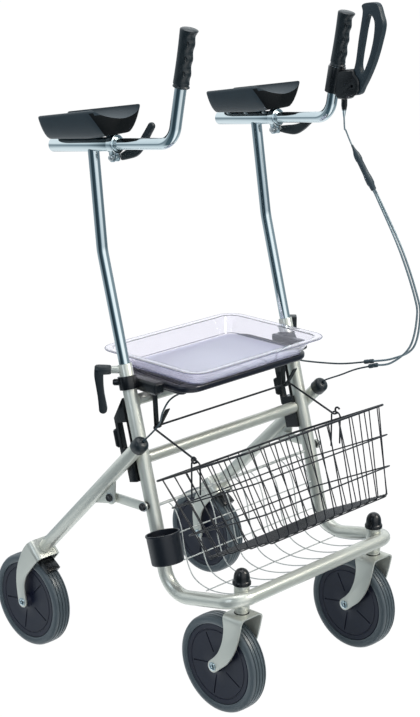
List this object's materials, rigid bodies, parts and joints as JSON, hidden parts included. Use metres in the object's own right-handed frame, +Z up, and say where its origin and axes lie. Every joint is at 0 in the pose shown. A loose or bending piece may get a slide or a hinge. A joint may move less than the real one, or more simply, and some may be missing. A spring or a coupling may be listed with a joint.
{
  "type": "forearm rollator",
  "caption": "Folding rollator with a bent tube frame, forearm rests on telescoping posts, seat, tray, wire basket and a brake lever.",
  "frame": {"origin": "on the floor under the centre of the bounding box, midway between the axles", "axes": "+Z up, -Y the way the user walks, +X the user's left"},
  "size_m": [0.5952, 0.695, 1.3335],
  "materials": {
    "champagne_tube": "satin champagne-silver coat on metal tube",
    "chrome": "bright chrome plating",
    "black_plastic": "matt black moulded plastic",
    "slate_rubber": "dark blue-grey soft moulded rubber",
    "navy_hub": "fine-textured navy-black plastic",
    "grey_tyre": "mid-grey moulded tyre",
    "black_wire": "dark plastic-dipped wire",
    "silver_wire": "zinc-plated wire",
    "clear_tray": "clear plastic with a faint violet-blue tint",
    "steel": "zinc-plated bolt"
  },
  "bodies": {
    "frame": {"front_frame": "champagne_tube", "lower_rack": "silver_wire", "cup_holder": "black_plastic", "seat_bracket_left": "black_plastic", "seat_bracket_right": "black_plastic", "seat_panel": "black_plastic", "dome_cap_left": "black_plastic", "dome_cap_right": "black_plastic", "link_pin_left": "black_plastic", "link_pin_right": "black_plastic", "cable_upper": "black_plastic", "cable_splitter": "black_plastic", "cable_left": "black_plastic", "cable_right": "black_plastic"},
    "carriage": {"carriage_bar": "champagne_tube", "slide_block_left": "black_plastic", "slide_block_right": "black_plastic"},
    "basket": {"basket": "black_wire"},
    "bail": {"bail": "black_wire"},
    "tray": {"tray": "clear_tray"},
    "brake_lever": {"brake_lever": "slate_rubber"},
    "post_left": {"post_left": "chrome", "arm_sleeve_left": "chrome", "arm_pad_left": "slate_rubber"},
    "post_lever_left": {"post_lever_left": "slate_rubber"},
    "quick_lever_left": {"quick_lever_left": "slate_rubber"},
    "handle_left": {"handle_tube_left": "chrome", "grip_left": "slate_rubber", "brake_housing": "black_plastic"},
    "post_right": {"post_right": "chrome", "arm_sleeve_right": "chrome", "arm_pad_right": "slate_rubber"},
    "post_lever_right": {"post_lever_right": "slate_rubber"},
    "quick_lever_right": {"quick_lever_right": "slate_rubber"},
    "handle_right": {"handle_tube_right": "chrome", "grip_right": "slate_rubber"},
    "leg_left": {"rear_leg_left": "champagne_tube", "leg_cap_left": "black_plastic", "rear_fork_left": "champagne_tube", "axle_rear_left": "steel"},
    "link_left": {"link_left": "champagne_tube"},
    "brake_shoe_left": {"brake_shoe_left": "black_plastic"},
    "rear_wheel_left": {"tyre_rear_left": "grey_tyre", "hub_rear_left": "navy_hub"},
    "caster_left": {"front_fork_left": "champagne_tube", "axle_front_left": "steel"},
    "front_wheel_left": {"tyre_front_left": "grey_tyre", "hub_front_left": "navy_hub"},
    "leg_right": {"rear_leg_right": "champagne_tube", "leg_cap_right": "black_plastic", "rear_fork_right": "champagne_tube", "axle_rear_right": "steel"},
    "link_right": {"link_right": "champagne_tube"},
    "brake_shoe_right": {"brake_shoe_right": "black_plastic"},
    "rear_wheel_right": {"tyre_rear_right": "grey_tyre", "hub_rear_right": "navy_hub"},
    "caster_right": {"front_fork_right": "champagne_tube", "axle_front_right": "steel"},
    "front_wheel_right": {"tyre_front_right": "grey_tyre", "hub_front_right": "navy_hub"}
  },
  "joints": [
    {"name": "fold_slide", "type": "slide", "parent": "frame", "child": "carriage", "axis": [0, 0.2563, 0.9666], "range_m": [0, 0.068]},
    {"name": "post_slide_left", "type": "slide", "parent": "frame", "child": "post_left", "axis": [0, 0.2563, 0.9666], "range_m": [-0.1, 0.08], "deforming": ["cable_upper"]},
    {"name": "post_lever_turn_left", "type": "hinge", "parent": "frame", "child": "post_lever_left", "pos_m": [0.231, -0.01936, 0.653], "axis": [0.7071, 0.7071, 0], "range_deg": [-45, 45]},
    {"name": "quick_lever_turn_left", "type": "hinge", "parent": "post_left", "child": "quick_lever_left", "pos_m": [0.2436, 0.00378, 1.06294], "axis": [0.999, -0.0454, 0], "range_deg": [0, 100]},
    {"name": "handle_slide_left", "type": "slide", "parent": "post_left", "child": "handle_left", "axis": [-0.0451, -0.9924, 0.1149], "range_m": [-0.05, 0.06]},
    {"name": "post_slide_right", "type": "slide", "parent": "frame", "child": "post_right", "axis": [0, 0.2563, 0.9666], "range_m": [-0.1, 0.08]},
    {"name": "post_lever_turn_right", "type": "hinge", "parent": "frame", "child": "post_lever_right", "pos_m": [-0.231, -0.01936, 0.653], "axis": [-0.7071, 0.7071, 0], "range_deg": [-45, 45]},
    {"name": "quick_lever_turn_right", "type": "hinge", "parent": "post_right", "child": "quick_lever_right", "pos_m": [-0.20324, 0.00561, 1.06294], "axis": [0.999, 0.0454, 0], "range_deg": [0, 100]},
    {"name": "handle_slide_right", "type": "slide", "parent": "post_right", "child": "handle_right", "axis": [0.0451, -0.9924, 0.1149], "range_m": [-0.05, 0.06]},
    {"name": "brake_lever_hinge", "type": "hinge", "parent": "handle_left", "child": "brake_lever", "pos_m": [0.21676, -0.2085, 1.17198], "axis": [1, 0, 0], "range_deg": [-8, 0], "stiffness_Nm_per_rad": 1, "springref_deg": 1.15},
    {"name": "leg_hinge_left", "type": "hinge", "parent": "carriage", "child": "leg_left", "pos_m": [0.262, -0.03995, 0.47396], "axis": [1, 0, 0], "range_deg": [-23.43, 0], "deforming": ["cable_left"]},
    {"name": "link_hinge_left", "type": "hinge", "parent": "frame", "child": "link_left", "pos_m": [0.2525, -0.08787, 0.3946], "axis": [1, 0, 0], "range_deg": [0, 39.5]},
    {"name": "shoe_hinge_left", "type": "hinge", "parent": "leg_left", "child": "brake_shoe_left", "pos_m": [0.262, 0.20575, 0.20876], "axis": [1, 0, 0], "range_deg": [0, 1.5]},
    {"name": "rear_wheel_spin_left", "type": "hinge", "parent": "leg_left", "child": "rear_wheel_left", "pos_m": [0.262, 0.2475, 0.1], "axis": [1, 0, 0], "continuous": true},
    {"name": "caster_swivel_left", "type": "hinge", "parent": "frame", "child": "caster_left", "pos_m": [0.197, -0.296, 0.22], "axis": [0, 0, 1], "continuous": true},
    {"name": "front_wheel_spin_left", "type": "hinge", "parent": "caster_left", "child": "front_wheel_left", "pos_m": [0.197, -0.2475, 0.1], "axis": [1, 0, 0], "continuous": true},
    {"name": "leg_hinge_right", "type": "hinge", "parent": "carriage", "child": "leg_right", "pos_m": [-0.262, -0.03995, 0.47396], "axis": [1, 0, 0], "range_deg": [-23.43, 0], "deforming": ["cable_right"]},
    {"name": "link_hinge_right", "type": "hinge", "parent": "frame", "child": "link_right", "pos_m": [-0.2525, -0.08787, 0.3946], "axis": [1, 0, 0], "range_deg": [0, 39.5]},
    {"name": "shoe_hinge_right", "type": "hinge", "parent": "leg_right", "child": "brake_shoe_right", "pos_m": [-0.262, 0.20575, 0.20876], "axis": [1, 0, 0], "range_deg": [0, 1.5]},
    {"name": "rear_wheel_spin_right", "type": "hinge", "parent": "leg_right", "child": "rear_wheel_right", "pos_m": [-0.262, 0.2475, 0.1], "axis": [1, 0, 0], "continuous": true},
    {"name": "caster_swivel_right", "type": "hinge", "parent": "frame", "child": "caster_right", "pos_m": [-0.197, -0.296, 0.22], "axis": [0, 0, 1], "continuous": true},
    {"name": "front_wheel_spin_right", "type": "hinge", "parent": "caster_right", "child": "front_wheel_right", "pos_m": [-0.197, -0.2475, 0.1], "axis": [1, 0, 0], "continuous": true},
    {"name": "basket_lift", "type": "slide", "parent": "frame", "child": "basket", "axis": [0, -0.29, 0.957], "range_m": [0, 0.03]},
    {"name": "bail_hinge", "type": "hinge", "parent": "basket", "child": "bail", "pos_m": [0, -0.183, 0.4965], "axis": [1, 0, 0], "range_deg": [0, 10]},
    {"name": "tray_lift", "type": "slide", "parent": "frame", "child": "tray", "axis": [0, 0, 1], "range_m": [0, 0.05]}
  ],
  "couplings": [
    {"joint": "leg_hinge_left", "follows": "fold_slide", "rad_per_m": -6.0075},
    {"joint": "link_hinge_left", "follows": "fold_slide", "rad_per_m": 10.132},
    {"joint": "shoe_hinge_left", "follows": "brake_lever_hinge", "ratio": -0.18},
    {"joint": "leg_hinge_right", "follows": "fold_slide", "rad_per_m": -6.0075},
    {"joint": "link_hinge_right", "follows": "fold_slide", "rad_per_m": 10.132},
    {"joint": "shoe_hinge_right", "follows": "brake_lever_hinge", "ratio": -0.18}
  ]
}
